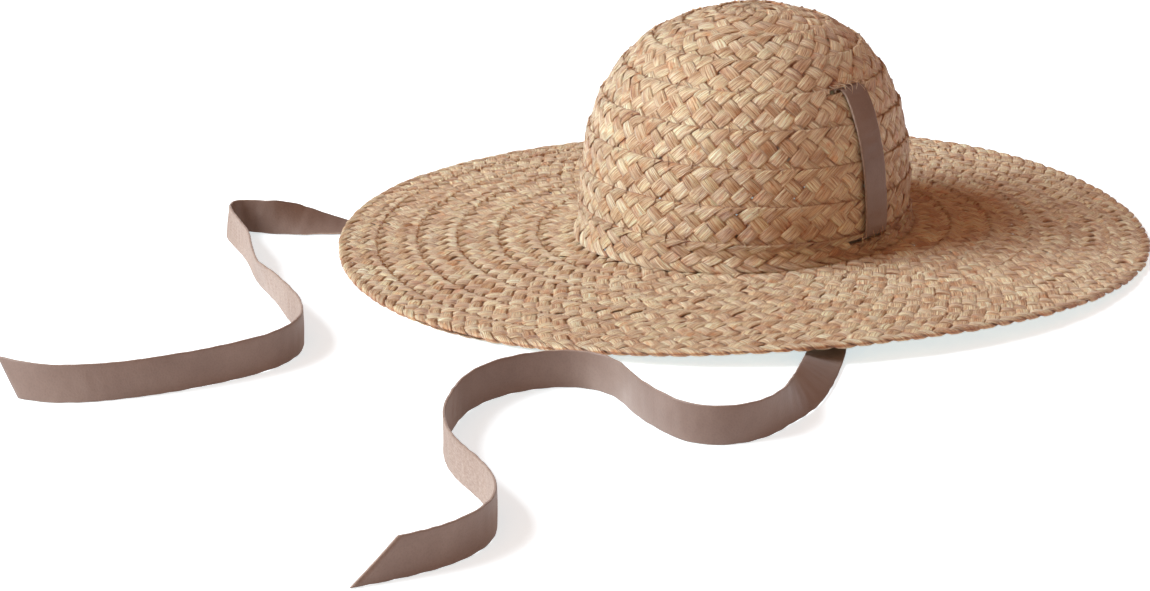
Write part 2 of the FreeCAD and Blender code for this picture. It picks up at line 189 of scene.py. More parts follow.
class Graph:
    """A material's node tree, with one short call for each kind of node it needs."""

    def __init__(self, name, roughness, specular=0.3, sheen=0.0):
        self.material = bpy.data.materials.new(name)
        self.material.use_nodes = True
        self.tree = self.material.node_tree
        self.shader = self.tree.nodes["Principled BSDF"]
        self.shader.inputs["Roughness"].default_value = roughness
        self.shader.inputs["Specular IOR Level"].default_value = specular
        self.shader.inputs["Sheen Weight"].default_value = sheen

    def add(self, kind, **settings):
        node = self.tree.nodes.new(kind)
        for name, value in settings.items():
            setattr(node, name, value)
        return node

    def join(self, source, target):
        self.tree.links.new(source, target)

    def attribute(self, name, output="Vector"):
        return self.add("ShaderNodeAttribute", attribute_name=name).outputs[output]

    def position(self):
        return self.add("ShaderNodeTexCoord").outputs["Object"]

    def scaled(self, vector, scale):
        node = self.add("ShaderNodeVectorMath", operation="MULTIPLY")
        self.join(vector, node.inputs[0])
        node.inputs[1].default_value = scale
        return node.outputs[0]

    def noise(self, vector, scale=1.0, detail=3.0, roughness=0.55):
        node = self.add("ShaderNodeTexNoise")
        self.join(vector, node.inputs["Vector"])
        node.inputs["Scale"].default_value = scale
        node.inputs["Detail"].default_value = detail
        node.inputs["Roughness"].default_value = roughness
        return node.outputs["Fac"]

    def cells(self, vector, scale):
        node = self.add("ShaderNodeTexVoronoi", feature="F1")
        self.join(vector, node.inputs["Vector"])
        node.inputs["Scale"].default_value = scale
        return node.outputs["Distance"]

    def ramp(self, value, stops):
        node = self.add("ShaderNodeValToRGB")
        self.join(value, node.inputs["Fac"])
        elements = node.color_ramp.elements
        while len(elements) < len(stops):
            elements.new(0.5)
        for element, (place, colour) in zip(elements, stops):
            element.position = place
            element.color = (*colour, 1.0)
        return node.outputs["Color"]

    def mix(self, kind, factor, one, other):
        node = self.add("ShaderNodeMix", data_type="RGBA", blend_type=kind)
        for value, socket in ((factor, node.inputs[0]), (one, node.inputs[6]), (other, node.inputs[7])):
            if isinstance(value, bpy.types.NodeSocket):
                self.join(value, socket)
            elif isinstance(value, tuple):
                socket.default_value = (*value, 1.0)
            else:
                socket.default_value = value
        return node.outputs[2]

    def bump(self, height, strength, distance, before=None):
        node = self.add("ShaderNodeBump")
        node.inputs["Strength"].default_value = strength
        node.inputs["Distance"].default_value = distance
        self.join(height, node.inputs["Height"])
        if before is not None:
            self.join(before, node.inputs["Normal"])
        return node.outputs["Normal"]

    def finish(self, colour, normal=None):
        self.join(colour, self.shader.inputs["Base Color"])
        if normal is not None:
            self.join(normal, self.shader.inputs["Normal"])
        return self.material


# ---------------- materials
def straw_material():
    """Raffia: long fibres of cream, tan and rust in each strand, with painted shade that darkens it
    where strands dip.
    """
    graph = Graph("raffia", roughness=0.4, specular=0.75, sheen=0.3)
    fibre = graph.attribute("fibre")
    streak = graph.noise(graph.scaled(fibre, (1.9, 0.05, 1.0)), detail=6.0, roughness=0.8)
    colour = graph.ramp(
        streak,
        [
            (0.355, (0.46, 0.215, 0.100)),
            (0.42, (0.72, 0.445, 0.250)),
            (0.485, (0.86, 0.635, 0.370)),
            (0.54, (0.95, 0.800, 0.525)),
            (0.61, (1.0, 0.955, 0.740)),
        ],
    )
    lines = graph.noise(graph.scaled(fibre, (1.7, 0.035, 1.0)), detail=1.5, roughness=0.5)
    split = graph.ramp(
        lines,
        [
            (0.455, (1.0, 1.0, 1.0)),
            (0.485, (0.56, 0.33, 0.20)),
            (0.505, (0.56, 0.33, 0.20)),
            (0.535, (1.0, 1.0, 1.0)),
        ],
    )
    colour = graph.mix("MULTIPLY", 0.9, colour, split)
    tone = graph.noise(graph.scaled(fibre, (0.14, 0.05, 1.0)), detail=2.0)
    toned = graph.ramp(
        tone, [(0.34, (0.74, 0.56, 0.44)), (0.5, (1.0, 0.97, 0.95)), (0.64, (1.08, 1.14, 1.10))]
    )
    colour = graph.mix("MULTIPLY", 1.0, colour, toned)
    patch = graph.noise(graph.position(), scale=120.0, detail=3.0, roughness=0.6)
    rust = graph.ramp(patch, [(0.57, (1.0, 1.0, 1.0)), (0.70, (0.92, 0.58, 0.36))])
    colour = graph.mix("MULTIPLY", 0.8, colour, rust)
    # Painted shade: a strand is darkened to reddish brown where it dips under its neighbours and
    # towards its edges.
    depth = graph.attribute("depth", "Fac")
    shade = graph.ramp(
        depth, [(0.0, (0.56, 0.28, 0.16)), (0.28, (0.90, 0.68, 0.53)), (0.5, (1.0, 1.0, 1.0))]
    )
    colour = graph.mix("MULTIPLY", 1.0, colour, shade)
    ridges = graph.noise(graph.scaled(fibre, (2.9, 0.03, 1.0)), detail=3.0, roughness=0.65)
    return graph.finish(colour, graph.bump(ridges, 1.0, 0.0018))


def grain_material():
    """Taupe grain leather with fine pebbling, creases and worn lighter clouds."""
    graph = Graph("leather_grain", roughness=0.45, specular=0.45, sheen=0.08)
    place = graph.position()
    clouds = graph.noise(place, scale=24.0, detail=4.0)
    colour = graph.ramp(
        clouds,
        [(0.3, (0.190, 0.124, 0.098)), (0.55, (0.240, 0.166, 0.134)), (0.75, (0.290, 0.212, 0.176))],
    )
    pebble = graph.cells(place, 900.0)
    dark = graph.ramp(pebble, [(0.1, (0.86, 0.86, 0.86)), (0.6, (1.0, 1.0, 1.0))])
    colour = graph.mix("MULTIPLY", 0.6, colour, dark)
    normal = graph.bump(pebble, 0.16, 0.0004)
    creases = graph.noise(place, scale=160.0, detail=5.0, roughness=0.7)
    return graph.finish(colour, graph.bump(creases, 0.25, 0.0005, normal))


def suede_material():
    """The flesh side of the leather: paler, pinkish and fibrous."""
    graph = Graph("leather_suede", roughness=0.95, specular=0.12, sheen=0.35)
    fibre = graph.attribute("fibre")
    nap = graph.noise(graph.scaled(fibre, (0.9, 0.35, 1.0)), detail=5.0, roughness=0.75)
    colour = graph.ramp(
        nap,
        [(0.3, (0.235, 0.155, 0.12)), (0.5, (0.34, 0.245, 0.195)), (0.7, (0.44, 0.345, 0.285))],
    )
    clouds = graph.noise(graph.position(), scale=30.0, detail=3.0)
    shade = graph.ramp(clouds, [(0.3, (0.82, 0.78, 0.76)), (0.65, (1.0, 1.0, 1.0))])
    colour = graph.mix("MULTIPLY", 0.8, colour, shade)
    return graph.finish(colour, graph.bump(nap, 0.5, 0.0005))


def cotton_material(name, light, dark, threads):
    """Plain woven cotton: a fine grid of threads, threads to the millimetre."""
    graph = Graph(name, roughness=0.85, specular=0.15, sheen=0.2)
    fibre = graph.attribute("fibre")
    warp = graph.add("ShaderNodeTexWave", bands_direction="X")
    weft = graph.add("ShaderNodeTexWave", bands_direction="Y")
    for wave in (warp, weft):
        graph.join(fibre, wave.inputs["Vector"])
        wave.inputs["Scale"].default_value = threads
        wave.inputs["Distortion"].default_value = 0.4
    weave = graph.mix("MULTIPLY", 1.0, warp.outputs["Color"], weft.outputs["Color"])
    colour = graph.ramp(weave, [(0.0, dark), (0.7, light)])
    stain = graph.noise(graph.position(), scale=45.0, detail=3.0)
    stained = graph.ramp(stain, [(0.35, (0.8, 0.78, 0.74)), (0.6, (1.0, 1.0, 1.0))])
    colour = graph.mix("MULTIPLY", 0.5, colour, stained)
    return graph.finish(colour, graph.bump(weave, 0.4, 0.0003))


# ---------------- the hat's surfaces
def crown_profile():
    """The crown's curve from tip to foot: length, radius, height and outward normal."""
    share = 1.0 - np.linspace(0.0, 1.0, 4001) ** 2
    radius = CROWN_RADIUS * np.sqrt(np.clip(1.0 - share**CROWN_FULLNESS, 0.0, None))
    height = CROWN_FOOT + share * CROWN_RISE
    step_r = np.diff(radius)
    step_z = np.diff(height)
    length = np.concatenate([[0.0], np.cumsum(np.hypot(step_r, step_z))])
    normal_r = -np.gradient(height, length)
    normal_z = np.gradient(radius, length)
    return length, radius, height, normal_r, normal_z


PROFILE = crown_profile()
CROWN_LENGTH = PROFILE[0][-1]


def oval(radius, angle, height):
    """Points on an oval that is longer front to back than side to side."""
    offset = OVAL_OFFSET * np.minimum(radius / CROWN_RADIUS, 1.0)
    across = (radius - offset) * np.cos(angle)
    along = (radius + offset) * np.sin(angle)
    return np.stack([across, along, height], axis=-1)


def on_crown(length, angle, stand_off):
    """Points on the crown at a length from the tip, stand_off outside the braid's middle."""
    lengths, radii, heights, normals_r, normals_z = PROFILE
    flare = np.clip((length - CROWN_LENGTH + FLARE_LENGTH) / FLARE_LENGTH, 0.0, 1.0) ** 2
    radius = np.interp(length, lengths, radii) + stand_off * np.interp(length, lengths, normals_r)
    height = np.interp(length, lengths, heights) + stand_off * np.interp(length, lengths, normals_z)
    settled = SETTLE * np.clip((SETTLE_END - length) / SETTLE_FADE, 0.0, 1.0)
    return oval(radius + FLARE_OUT * flare, angle, height - FLARE_DOWN * flare - settled)


def on_brim(radius, angle, stand_off):
    """Points on the brim, stand_off above the braid's middle."""
    turn = angle - LIFT_ANGLE
    wave = LIFT_ONE * np.cos(turn) + LIFT_TWO * np.cos(2 * turn) + LIFT_THREE * np.cos(3 * turn)
    lift = LIFT_MEAN + wave
    share = (radius - BRIM_INNER) / (BRIM_RADIUS - BRIM_INNER)
    height = BRIM_ROOT_HEIGHT + share * (BRIM_EDGE_HEIGHT + lift - BRIM_ROOT_HEIGHT)
    return oval(radius, angle, height + stand_off)


def length_at_height(height):
    """Length from the tip to a height on the crown."""
    return float(np.interp(-height, -PROFILE[2], PROFILE[0]))


SLITS = [length_at_height(SLIT_UPPER_HEIGHT), length_at_height(SLIT_LOWER_HEIGHT)]


class Round:
    """One round of braid between two places on a surface, its upper edge over the round before."""

    def __init__(self, name, surface, start, end):
        self.name = name
        self.surface = surface
        self.start = start
        self.end = end
        self.width = end - start
        middle = (start + end) / 2
        if surface is on_crown:
            self.radius = float(np.interp(middle, PROFILE[0], PROFILE[1]))
            self.edge_turn = CROWN_TURN
            self.strand = CROWN_STRAND
            self.stitch = CROWN_STITCH
            pressed = CROWN_PRESSED
        else:
            self.radius = middle
            self.edge_turn = BRIM_TURN
            self.strand = BRIM_STRAND
            self.stitch = BRIM_STITCH
            pressed = BRIM_PRESSED
        self.turns = STRANDS * max(2, round(2 * math.pi * self.radius / self.edge_turn / STRANDS))
        self.slope = pressed * (BRAID_THICKNESS / 2 + LAP_CLEARANCE) / (self.width - BRAID_LAP)

    def place(self, rise, angle, stand_off):
        """A point of the braid: rise is 0 at the lower edge and 1 at the upper edge."""
        place = self.end + rise * (self.start - self.end)
        tilt = self.slope * ((self.start + self.end) / 2 - place)
        place = place + seam_drop(angle) * self.drop_share(place)
        return self.surface(self.part_at_slits(place, angle), angle, tilt + stand_off)

    def drop_share(self, place):
        """Seams slope round the crown as its spiral does, but not at the tip or on the brim."""
        if self.surface is not on_crown:
            return 0.0
        from_tip = np.clip(place / TIP_FADE, 0.0, 1.0)
        from_foot = np.clip((CROWN_LENGTH - place) / FOOT_FADE, 0.0, 1.0)
        return from_tip * from_foot

    def part_at_slits(self, place, angle):
        """Pushes the braid apart at the slits that the ties pass through."""
        if self.surface is not on_crown:
            return place
        beside = np.abs(self.radius * np.sin(angle) - SLIT_MIDDLE)
        window = np.clip((SLIT_HALF_LENGTH - beside) / SLIT_TAPER, 0.0, 1.0)
        for slit, gap in zip(SLITS, SLIT_GAPS):
            away = place - slit
            place = slit + np.where(away < 0, -1.0, 1.0) * np.hypot(away, gap * window)
        return place


def seam_drop(angle):
    """How far below their mean places the crown's seams lie, going round with the spiral."""
    return SEAM_DROP_MEAN + SEAM_DROP_SWING * np.sin(angle + VIEWED_SIDE)


def hat_rounds():
    """All the rounds, from the tip to the rim."""
    seams = [CROWN_LENGTH, CROWN_LENGTH - FOOT_PITCH]
    while seams[-1] > 1.5 * CROWN_PITCH:
        seams.append(seams[-1] - CROWN_PITCH)
    seams.sort()
    rounds = [Round("crown_tip", on_crown, TIP_HOLE, seams[0] + BRAID_LAP)]
    for number in range(1, len(seams)):
        end = min(seams[number] + BRAID_LAP, CROWN_LENGTH)
        rounds.append(Round(f"crown_round_{number}", on_crown, seams[number - 1], end))
    pitch = (BRIM_RADIUS - BRIM_INNER) / BRIM_ROUNDS
    for number in range(1, BRIM_ROUNDS + 1):
        start = BRIM_INNER + (number - 1) * pitch
        end = min(start + pitch + BRAID_LAP, BRIM_RADIUS)
        if number == 1:
            start -= BRAID_LAP
        rounds.append(Round(f"brim_round_{number}", on_brim, start, end))
    return rounds


# ---------------- plaited strands
def wander(random, where, reach):
    """A smooth random wander along where, mostly within reach either way."""
    waves = 6
    total = np.zeros_like(where)
    for _ in range(waves):
        rate = random.uniform(0.15, 1.7)
        total += np.sin(where * rate * 2 * math.pi + random.uniform(0, 2 * math.pi))
    return total * reach / math.sqrt(waves)


def weave_height(phase):
    """Over (+1) and under (-1) of a strand: each half period crosses the braid once."""
    crossings = np.array([-0.1, 0.1, 0.2, 0.3, 0.4, 0.6, 0.7, 0.8, 0.9, 1.1])
    heights = np.array([1.0, -1.0, 1.0, -1.0, 1.0, -1.0, 1.0, -1.0, 1.0, -1.0])
    place = np.clip(np.searchsorted(crossings, phase, side="right") - 1, 0, len(crossings) - 2)
    gap = crossings[place + 1] - crossings[place]
    share = (phase - crossings[place]) / gap
    at_edge = gap > 0.15
    sharp = share**3 / (share**3 + (1 - share) ** 3)
    brisk = share**2.3 / (share**2.3 + (1 - share) ** 2.3)
    blend = np.where(at_edge, sharp, brisk)
    return heights[place] + (heights[place + 1] - heights[place]) * blend


def weave_rise(phase):
    """Where a strand is across the braid, 0 to 1 and back: a zigzag with rounded turns."""
    corner = 0.018
    from_turn = np.abs((phase + 0.5) % 1.0 - 0.5)
    zigzag = np.sqrt(from_turn**2 + corner**2) - corner
    other = np.sqrt((0.5 - from_turn) ** 2 + corner**2) - corner
    straight = zigzag / (zigzag + other)
    rounded = (1 - np.cos(2 * np.pi * phase)) / 2
    return 0.5 * straight + 0.5 * rounded


def section_points():
    """Round the strand's section: place across it, -1 to 1, and side, +1 on top or -1 under."""
    top = np.sin(np.linspace(-math.pi / 2, math.pi / 2, TOP_POINTS))
    under = np.linspace(1.0, -1.0, UNDER_POINTS + 2)[1:-1]
    across = np.concatenate([top, under])
    side = np.concatenate([np.ones(TOP_POINTS), -np.ones(UNDER_POINTS)])
    return across, side


def strand_section(random, along, thickness, squareness):
    """Each section point's place across the strand and height: a lens with a few soft ridges."""
    across, side = section_points()
    lens = (1.0 - np.abs(across) ** squareness) ** 0.6
    fold = wander(random, along, 0.35)[:, None]
    ridges = np.sin(across * 9.5 + 5.0 * fold) * 0.12 + np.sin(across * 15.0 - 9.0 * fold) * 0.07
    half = thickness / 2 * (lens + ridges * lens)
    return across, side * half


def crossing_phase(phases, across):
    """The phase that sets a point's height: a crossing strand's edge lies aslant to this one."""
    from_edge = np.minimum(phases % 0.5, 0.5 - phases % 0.5)
    slant = 0.05 * np.clip(from_edge / 0.12, 0.25, 1.0)
    return (phases[:, None] + slant[:, None] * across[None, :]) % 1.0


def strand_points(braid, random, strand, phases):
    """The strand's surface points, its fibre attribute, and the level of its painted shade."""
    phase = phases % 1.0
    edge_turns = STRANDS * phases + strand + wander(random, phases, 0.09)
    rise = weave_rise(phase) + wander(random, phases, 0.018)
    strand_thickness, lift, squareness, fill = braid.strand
    swell = lift * (1 + wander(random, phases, 0.2))
    width = braid.width - strand_thickness
    across, thickness = strand_section(random, phases, strand_thickness, squareness)
    rise_rate = np.gradient(rise * width)
    height_rate = np.gradient(weave_height(phase) * swell)
    rate = np.hypot(rise_rate, height_rate)
    out_rise = -height_rate / rate
    out_height = rise_rate / rate
    half_turn = 0.5 * (fill + 0.05 * weave_height(phase) + wander(random, phases, 0.09))
    inset = strand_thickness / 2 / braid.width
    full_rise = inset + rise * (1 - 2 * inset)
    height = weave_height(crossing_phase(phases, across)) * swell[:, None]
    point_rise = full_rise[:, None] + thickness * out_rise[:, None] / braid.width
    point_height = height + thickness * out_height[:, None]
    turns = edge_turns[:, None] + half_turn[:, None] * across[None, :]
    angle = turns * 2 * math.pi / braid.turns + braid.phase
    points = braid.place(point_rise, angle, point_height)
    path = np.cumsum(np.hypot(np.gradient(edge_turns * braid.edge_turn), rise_rate))
    pattern = 7.3 * strand + braid.phase * 11.0
    fibre = together(angle.shape, across[None, :] * 3.3, path[:, None], pattern)
    # Painted shade: points low in the plait, and at the strand's edges, get lower levels, which the
    # straw darkens.
    painted_shade_level = np.abs(point_height) / (lift + strand_thickness / 2)
    painted_shade_level = painted_shade_level * (0.5 + 0.5 * (1 - np.abs(across[None, :]) ** 8))
    return points, fibre, np.clip(painted_shade_level, 0.0, 1.0)


def together(shape, *parts):
    """The parts spread over one shape, as the components of vectors."""
    return np.stack([np.broadcast_to(part, shape) for part in parts], axis=-1)


def tube_faces(rings, around):
    """Quads of an open tube of rings, each with the same number of points round it."""
    first = np.arange(rings - 1)[:, None] * around
    second = first + around
    here = np.arange(around)[None, :]
    there = (here + 1) % around
    corners = [first + here, first + there, second + there, second + here]
    return np.stack(corners, axis=-1).reshape(-1, 4)


def tile_uv(tile, grid, low_u, high_u, low_v, high_v):
    """Corners of faces inside their own square tiles of the UV map."""
    sides = np.broadcast_arrays(tile, low_u, high_u, low_v, high_v)
    tile, low_u, high_u, low_v, high_v = sides
    corner_u = np.stack([low_u, low_u, high_u, high_u], axis=-1)
    corner_v = np.stack([low_v, high_v, high_v, low_v], axis=-1)
    margin = 0.06
    column = (tile % grid)[..., None]
    row = (tile // grid)[..., None]
    u = (column + margin + (1 - 2 * margin) * corner_u) / grid
    v = (row + margin + (1 - 2 * margin) * corner_v) / grid
    return np.stack([u, v], axis=-1).reshape(-1, 2)


def strand_uv(strand, periods, rings, around):
    """Each period of a strand gets a tile of the braid's UV map."""
    step = np.arange(rings - 1)[:, None]
    period = np.minimum(step // PERIOD_STEPS, periods - 1)
    tile = strand * periods + period
    grid = math.ceil(math.sqrt(STRANDS * periods))
    low_u = (step - period * PERIOD_STEPS) / PERIOD_STEPS
    low_v = np.arange(around) / around
    return tile_uv(tile, grid, low_u, low_u + 1 / PERIOD_STEPS, low_v, low_v + 1 / around)


def cut_slits(braid, points, faces, corners_uv):
    """Leaves out the faces that would bridge a slit."""
    if braid.surface is not on_crown:
        return faces, corners_uv
    height = points[:, 2][faces]
    beside = np.abs(points[:, 1] - SLIT_MIDDLE)[faces].max(axis=1)
    beside = beside < SLIT_HALF_LENGTH - SLIT_BRIDGE
    keep = np.ones(len(faces), dtype=bool)
    for slit in SLITS:
        level = on_crown(slit, 0.0, 0.0)[2]
        bridging = (height.max(axis=1) > level) & (height.min(axis=1) < level)
        keep &= ~(bridging & beside)
    return faces[keep], corners_uv.reshape(-1, 4, 2)[keep].reshape(-1, 2)


def build_braid(braid, number, material):
    """The plaited strands of one round, as one mesh."""
    random = np.random.default_rng(100 + number)
    braid.phase = random.uniform(0, 2 * math.pi)
    periods = braid.turns // STRANDS
    rings = periods * PERIOD_STEPS + 1
    phases = np.linspace(0, periods, rings)
    points, fibres, depths, faces, corners = [], [], [], [], []
    for strand in range(STRANDS):
        strand_place, fibre, depth = strand_points(braid, random, strand, phases)
        around = strand_place.shape[1]
        first = sum(len(group) for group in points)
        points.append(strand_place.reshape(-1, 3))
        fibres.append(fibre.reshape(-1, 3))
        depths.append(depth.ravel())
        faces.append(tube_faces(rings, around) + first)
        corners.append(strand_uv(strand, periods, rings, around))
    points = np.concatenate(points)
    points[:, 2] = np.maximum(points[:, 2], REST_GAP)
    faces, corners_uv = cut_slits(braid, points, np.concatenate(faces), np.concatenate(corners))
    piece = make_mesh(
        f"{braid.name}_plait",
        points,
        faces,
        corners_uv,
        [material],
        fibre=np.concatenate(fibres),
        depth=np.concatenate(depths),
    )
    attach(piece, "root")
    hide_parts(braid.name)


# ---------------- stitches and stray fibres
def thread_frame(line):
    """Two directions square to each point's line."""
    ahead = np.gradient(line, axis=1)
    ahead /= np.linalg.norm(ahead, axis=2, keepdims=True)
    reference = np.array([0.3, 0.2, 0.93])
    side = np.cross(ahead, reference)
    side /= np.linalg.norm(side, axis=2, keepdims=True)
    return side, np.cross(side, ahead)


def threads_mesh(name, lines, radii, material, seeds):
    """Many short threads, each a five-sided tube along its line of points."""
    count, steps, _ = lines.shape
    side, up = thread_frame(lines)
    around = 5
    turn = np.arange(around) * 2 * math.pi / around
    circle = np.cos(turn)[None, None, :, None] * side[:, :, None, :]
    circle = circle + np.sin(turn)[None, None, :, None] * up[:, :, None, :]
    points = lines[:, :, None, :] + radii[:, :, None, None] * circle
    one = tube_faces(steps, around)
    faces = (one[None, :, :] + (np.arange(count) * steps * around)[:, None, None]).reshape(-1, 4)
    step = np.repeat(np.arange(steps - 1), around)
    here = np.tile(np.arange(around), steps - 1)
    tile = np.repeat(np.arange(count), len(step))
    grid = math.ceil(math.sqrt(count))
    low_u = np.tile(step / (steps - 1), count)
    low_v = np.tile(here / around, count)
    corners_uv = tile_uv(tile, grid, low_u, low_u + 1 / (steps - 1), low_v, low_v + 1 / around)
    step_lengths = np.linalg.norm(np.diff(lines, axis=1), axis=2)
    along = np.concatenate([np.zeros((count, 1)), np.cumsum(step_lengths, axis=1)], axis=1)
    shape = (count, steps, around)
    fibre = together(shape, np.cos(turn), along[:, :, None], seeds[:, None, None])
    points = points.reshape(-1, 3)
    # The threads all take one middle level of the straw's painted shade.
    depth = np.full(len(points), 0.4)
    fibre = fibre.reshape(-1, 3)
    return make_mesh(name, points, faces, corners_uv, [material], fibre=fibre, depth=depth)


def seam_stitches(braid, random):
    """Short raffia stitches that cross the seam above this round, as lines of points."""
    spacing, top = braid.stitch
    count = max(4, round(2 * math.pi * braid.radius / spacing))
    steps = 7
    angle = (np.arange(count) + random.uniform(-0.45, 0.45, count)) * 2 * math.pi / count
    slant = random.uniform(-0.6, 1.6, count) / braid.radius
    share = np.linspace(-1.0, 1.0, steps)
    reach = random.uniform(1.6, 3.4, count) / braid.width
    rise = 1.0 - share[None, :] * reach[:, None] - STITCH_RADIUS / braid.width
    angles = angle[:, None] + slant[:, None] * share[None, :]
    over_edge = np.clip((rise - 0.96) / 0.07, 0.0, 1.0)
    tucked = np.clip((share[None, :] - 0.6) / 0.4, 0.0, 1.0)
    proud = top - 1.9 * over_edge - 1.2 * tucked
    return braid.place(rise, angles, proud)


def stray_fibres(braid, random, count):
    """Fine broken fibres that curl out of the plait."""
    steps = 9
    share = np.linspace(0.0, 1.0, steps)[None, :]
    angle = random.uniform(0, 2 * math.pi, count)[:, None]
    rise = random.uniform(0.0, 1.0, count)[:, None]
    reach = random.uniform(2.0, 6.5, count)[:, None]
    heading = random.uniform(0, 2 * math.pi, count)[:, None]
    curl = random.uniform(-1.1, 1.1, count)[:, None]
    turn = heading + curl * share
    angles = angle + share * reach * np.cos(turn) / braid.radius
    rises = rise + share * reach * np.sin(turn) / braid.width
    proud = 1.1 + random.uniform(0.2, 1.5, count)[:, None] * np.sin(share * 2.2)
    return braid.place(np.clip(rises, -0.08, 1.05), angles, proud)


def slit_fibres(random, slit, way):
    """Broken fibres over a slit at both sides: they hang where way is 1, and stand up where -1."""
    steps = 9
    share = np.linspace(0.0, 1.0, steps)[None, :]
    across = random.uniform(-16.0, 10.0, SLIT_FIBRES)[:, None]
    lean = random.uniform(-5.0, 5.0, SLIT_FIBRES)[:, None]
    reach = random.uniform(4.0, 9.0, SLIT_FIBRES)[:, None]
    sway = random.uniform(0.5, 1.8, SLIT_FIBRES)[:, None]
    length = slit + way * (reach * share - 3.5)
    stand_off = 1.2 + sway * np.sin(share * 2.6) + 2.9 * np.clip(share * 2.5, 0.0, 1.0)
    beside = across + lean * share**2
    lines = []
    for side in (1.0, -1.0):
        centre = 0.0 if side > 0 else math.pi
        radius = np.interp(length, PROFILE[0], PROFILE[1])
        lines.append(on_crown(length, centre + side * beside / radius, stand_off))
    return np.concatenate(lines)


def build_stitching(rounds, material):
    """The seams' stitches as one mesh, and the stray fibres as another."""
    random = np.random.default_rng(7)
    stitch_lines = np.concatenate([seam_stitches(braid, random) for braid in rounds[1:]])
    stitch_radii = np.full(stitch_lines.shape[:2], STITCH_RADIUS)
    seeds = random.uniform(0, 90, len(stitch_lines))
    piece = threads_mesh("seam_stitches", stitch_lines, stitch_radii, material, seeds)
    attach(piece, "root")
    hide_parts("seam_thread")
    strays = [stray_fibres(braid, random, 10 + int(braid.radius * 0.9)) for braid in rounds]
    over_slits = [slit_fibres(random, SLITS[0], 1.0), slit_fibres(random, SLITS[1], -1.0)]
    stray_lines = np.concatenate([*strays, *over_slits])
    thin = FIBRE_RADIUS * (1 - 0.6 * np.linspace(0, 1, stray_lines.shape[1]))
    stray_radii = np.array(np.broadcast_to(thin, stray_lines.shape[:2]))
    # The last fibres, over the slits of both sides, are coarser.
    stray_radii[-4 * SLIT_FIBRES :] *= 2.0
    seeds = random.uniform(0, 90, len(stray_lines))
    piece = threads_mesh("stray_fibres", stray_lines, stray_radii, material, seeds)
    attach(piece, "root")


# ---------------- leather ties
# Control points of each free tie from under the brim to its cut end, as (x, y, roll): roll is 0
# where the strap lies flat, grain side up, and 90 where it stands on edge.
RIGHT_TAIL = [
    (156.0, -137.0, 0),
    (162.5, -147.5, 10),
    (179.0, -176.5, 28),
    (195.0, -207.5, 50),
    (204.5, -235.0, 84),
    (206.5, -259.0, 90),
    (198.5, -277.0, 90),
    (182.0, -284.0, 90),
    (163.0, -279.5, 90),
    (141.0, -270.0, 90),
    (120.0, -257.0, 90),
    (104.5, -254.5, 90),
    (90.0, -260.5, 90),
    (79.5, -274.5, 90),
    (74.0, -293.0, 90),
    (75.5, -315.0, 90),
    (85.5, -337.0, 90),
    (99.5, -358.5, 90),
    (117.0, -376.5, 90),
    (136.0, -388.5, 90),
    (160.0, -399.5, 90),
    (179.0, -411.0, 90),
    (193.0, -427.5, 90),
    (199.0, -448.0, 90),
    (197.5, -473.0, 90),
    (184.2, -506.2, 90),
]
LEFT_TAIL = [
    (-176.0, -131.5, 0),
    (-182.5, -138.0, 10),
    (-190.0, -146.5, 24),
    (-196.5, -154.5, 42),
    (-208.0, -169.0, 80),
    (-219.0, -173.5, 90),
    (-226.0, -178.5, 96),
    (-226.0, -187.0, 98),
    (-214.5, -196.0, 94),
    (-195.0, -206.5, 90),
    (-174.0, -220.0, 90),
    (-151.0, -238.5, 84),
    (-130.0, -252.5, 74),
    (-109.0, -262.0, 82),
    (-87.0, -275.0, 90),
    (-64.0, -288.0, 90),
    (-46.0, -305.0, 90),
    (-37.5, -327.0, 90),
    (-38.5, -353.0, 90),
    (-46.5, -381.0, 90),
    (-57.0, -408.0, 90),
    (-72.0, -429.5, 90),
    (-91.0, -443.0, 90),
    (-111.0, -445.5, 90),
]
# A free tie still faces straight out from the slit at this many of its first control points.
HANGING_POINTS = 2.6


def edge_height(roll):
    """Height of the strap's middle when its lower edge lies on the floor at this roll."""
    reach = TIE_WIDTH / 2 * np.abs(np.sin(roll)) + TIE_THICKNESS / 2 * np.abs(np.cos(roll))
    return FLOOR_CLEARANCE + reach


def tail_route(side, stations):
    """Control points of a free tie from its slit to its cut end, with the roll at each."""
    drop = side * TIE_DROP
    flat = float(edge_height(0.0))
    (first_x, first_y, _), (second_x, second_y, _) = stations[:2]
    heading = unit(np.array([second_x - first_x, second_y - first_y]))
    route = [
        ((drop, 0.0, TIE_DROP_END), 0.0),
        ((drop, 0.0, 1.6), 0.0),
        ((drop + side * 10.0, 0.0, flat), 0.0),
        ((drop + side * 26.0, -14.0, flat), 0.0),
        ((first_x - 45.0 * float(heading[0]), first_y - 45.0 * float(heading[1]), flat), 0.0),
    ]
    for x, y, roll in stations:
        route.append(((x, y, float(edge_height(math.radians(roll)))), float(roll)))
    return route


def smooth_line(name, control_points, steps=16):
    """Points along the NURBS spline of some control points, in millimetres."""
    curve = bpy.data.curves.new(name, "CURVE")
    curve.dimensions = "3D"
    curve.resolution_u = steps
    spline = curve.splines.new("NURBS")
    spline.points.add(len(control_points) - 1)
    for point, place in zip(spline.points, control_points):
        point.co = (place[0] * MM, place[1] * MM, place[2] * MM, 1.0)
    spline.order_u = 3
    spline.use_endpoint_u = True
    holder = bpy.data.objects.new(name, curve)
    mesh = bpy.data.meshes.new_from_object(holder)
    line = np.array([vertex.co[:] for vertex in mesh.vertices]) / MM
    bpy.data.meshes.remove(mesh)
    bpy.data.objects.remove(holder)
    bpy.data.curves.remove(curve)
    return line


